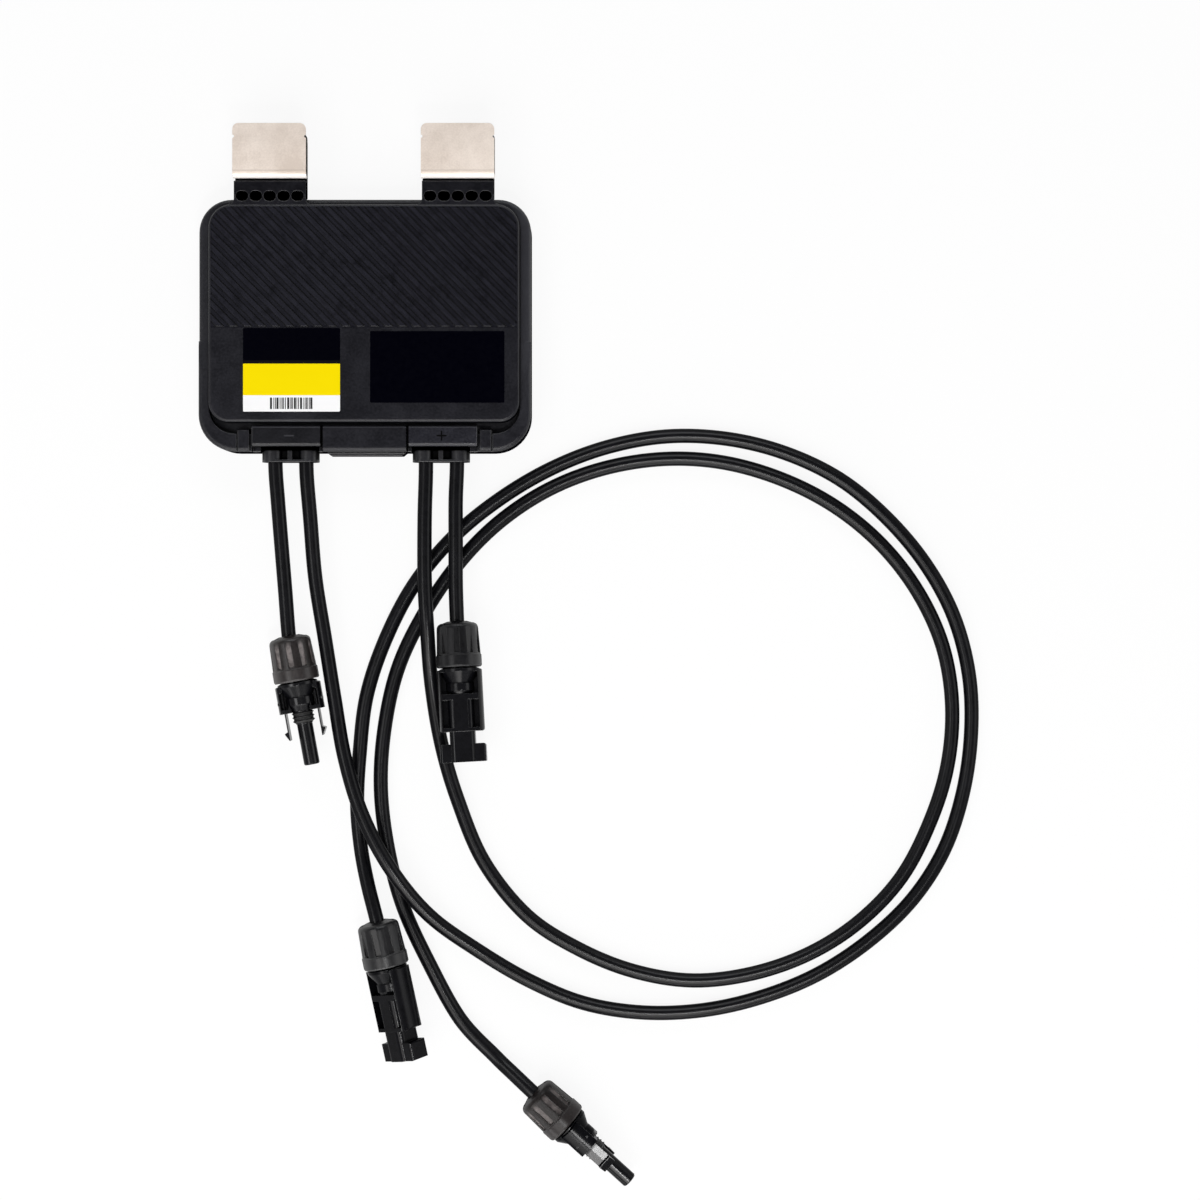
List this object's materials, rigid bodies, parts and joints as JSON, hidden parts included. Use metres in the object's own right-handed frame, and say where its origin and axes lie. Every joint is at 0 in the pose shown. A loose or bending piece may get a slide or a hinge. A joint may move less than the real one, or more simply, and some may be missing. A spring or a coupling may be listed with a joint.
{
  "type": "power optimizer",
  "caption": "Flat black moulded electronics box for a solar panel, with spring frame clips, raised slanting ridges on its cover, labels, and coiled cable leads ending in locking connectors.",
  "frame": {"origin": "bottom centre of the box with its clips and grommets, on the back face; the leads and their connectors are left out", "axes": "+Z out of the cover, +Y from the cable side towards the frame clips, +X to the right as the cover is seen"},
  "size_m": [0.327, 0.4427, 0.0226],
  "materials": {
    "housing_plastic": "matte",
    "cover_plastic": "matte",
    "rubber": "matte",
    "cable_sheath": "satin",
    "spring_steel": "satin",
    "yellow_label": "satin",
    "black_label": "gloss",
    "nut_plastic": "matte",
    "connector_plastic": "satin",
    "tinned_copper": "satin",
    "board": "satin",
    "ferrite": "matte",
    "can_aluminium": "satin",
    "aluminium": "satin",
    "thermal_pad": "matte",
    "chip": "matte"
  },
  "bodies": {
    "root": {"rear_housing": "housing_plastic", "front_cover": "cover_plastic", "perimeter_seal": "rubber", "left_spring_clip": "spring_steel", "right_spring_clip": "spring_steel", "rating_label": "yellow_label", "info_label": "black_label", "minus_cable_cap": "housing_plastic", "plus_cable_cap": "housing_plastic", "left_grommet": "rubber", "right_grommet": "rubber", "circuit_board": "board", "heat_spreader": "aluminium", "thermal_pad": "thermal_pad", "power_inductor": "ferrite", "filter_capacitors": "can_aluminium", "power_transistors": "chip", "control_chip": "chip", "terminal_lugs": "tinned_copper", "input_minus_lead": "cable_sheath", "output_minus_lead": "cable_sheath", "output_plus_lead": "cable_sheath", "input_plus_lead": "cable_sheath", "input_minus_nut": "nut_plastic", "input_minus_body": "connector_plastic", "input_minus_contact": "tinned_copper", "input_minus_wire_seal": "rubber", "input_minus_seal_ring": "rubber", "output_minus_nut": "nut_plastic", "output_minus_body": "connector_plastic", "output_minus_contact": "tinned_copper", "output_minus_wire_seal": "rubber", "output_plus_nut": "nut_plastic", "output_plus_body": "connector_plastic", "output_plus_contact": "tinned_copper", "output_plus_wire_seal": "rubber", "output_plus_seal_ring": "rubber", "input_plus_nut": "nut_plastic", "input_plus_body": "connector_plastic", "input_plus_contact": "tinned_copper", "input_plus_wire_seal": "rubber"}
  },
  "joints": []
}
